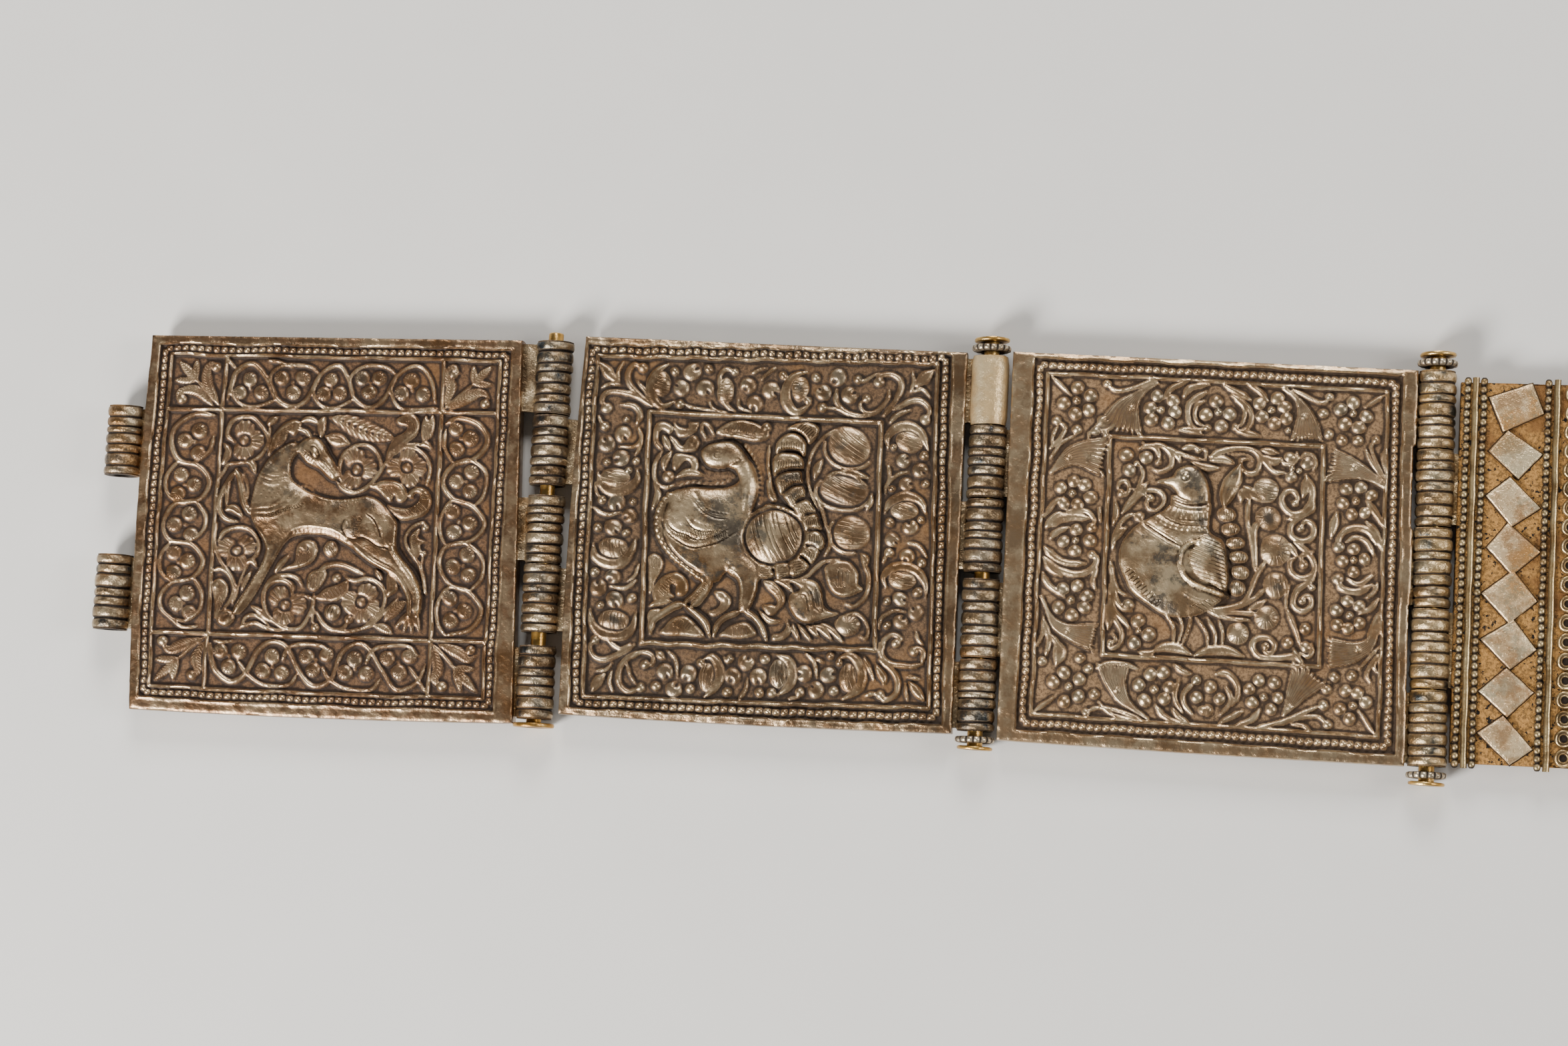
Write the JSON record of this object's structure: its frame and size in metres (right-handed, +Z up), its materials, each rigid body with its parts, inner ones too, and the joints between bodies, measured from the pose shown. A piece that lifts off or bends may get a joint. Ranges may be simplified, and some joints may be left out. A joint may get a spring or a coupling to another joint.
{
  "type": "hinged waist belt",
  "caption": "Waist belt of square cast silver plaques with raised animals and vines, hinged on pins to a wide middle plate.",
  "frame": {"origin": "middle of the belt's bounding box, on the surface that it lies on", "axes": "+X along the belt from its free end to its pinned end, +Y along the hinge axes towards the plaques' upper edges, +Z up, the way the chased faces look"},
  "size_m": [0.6184, 0.0796, 0.0078],
  "materials": {
    "cast_silver": "aged cast silver with brown patina in the recesses",
    "gilt_silver": "worn gilt ground with silver wires and lozenges",
    "pin_brass": "dull aged brass",
    "collar_silver": "aged silver"
  },
  "bodies": {
    "center": {"center_plate": "gilt_silver", "hinge_pin_4": "pin_brass", "collar_4_top": "collar_silver", "collar_4_bottom": "collar_silver"},
    "parrot_left": {"plaque_parrot_left": "cast_silver", "hinge_pin_3": "pin_brass", "collar_3_top": "collar_silver", "collar_3_bottom": "collar_silver"},
    "peacock_left": {"plaque_peacock_left": "cast_silver", "hinge_pin_2": "pin_brass", "collar_2_top": "collar_silver", "collar_2_bottom": "collar_silver"},
    "antelope_left": {"plaque_antelope_left": "cast_silver", "hinge_pin_1": "pin_brass"},
    "parrot_right": {"plaque_parrot_right": "cast_silver", "hinge_pin_5": "pin_brass", "collar_5_top": "collar_silver", "collar_5_bottom": "collar_silver"},
    "peacock_right": {"plaque_peacock_right": "cast_silver", "hinge_pin_6": "pin_brass"},
    "antelope_right": {"plaque_antelope_right": "cast_silver", "closing_pin": "pin_brass"}
  },
  "joints": [
    {"name": "hinge_3", "type": "hinge", "parent": "center", "child": "parrot_left", "pos_m": [-0.062, 0, 0.0039], "axis": [0, 1, 0], "range_deg": [-110, 110]},
    {"name": "hinge_2", "type": "hinge", "parent": "parrot_left", "child": "peacock_left", "pos_m": [-0.142, 0, 0.0039], "axis": [0, -1, 0], "range_deg": [-110, 110]},
    {"name": "hinge_1", "type": "hinge", "parent": "peacock_left", "child": "antelope_left", "pos_m": [-0.2233, 0, 0.0039], "axis": [0, 1, 0], "range_deg": [-110, 110]},
    {"name": "hinge_4", "type": "hinge", "parent": "center", "child": "parrot_right", "pos_m": [0.062, 0, 0.0039], "axis": [0, -1, 0], "range_deg": [-110, 110]},
    {"name": "hinge_5", "type": "hinge", "parent": "parrot_right", "child": "peacock_right", "pos_m": [0.142, 0, 0.0039], "axis": [0, 1, 0], "range_deg": [-110, 110]},
    {"name": "hinge_6", "type": "hinge", "parent": "peacock_right", "child": "antelope_right", "pos_m": [0.2233, 0, 0.0039], "axis": [0, -1, 0], "range_deg": [-110, 110]}
  ]
}
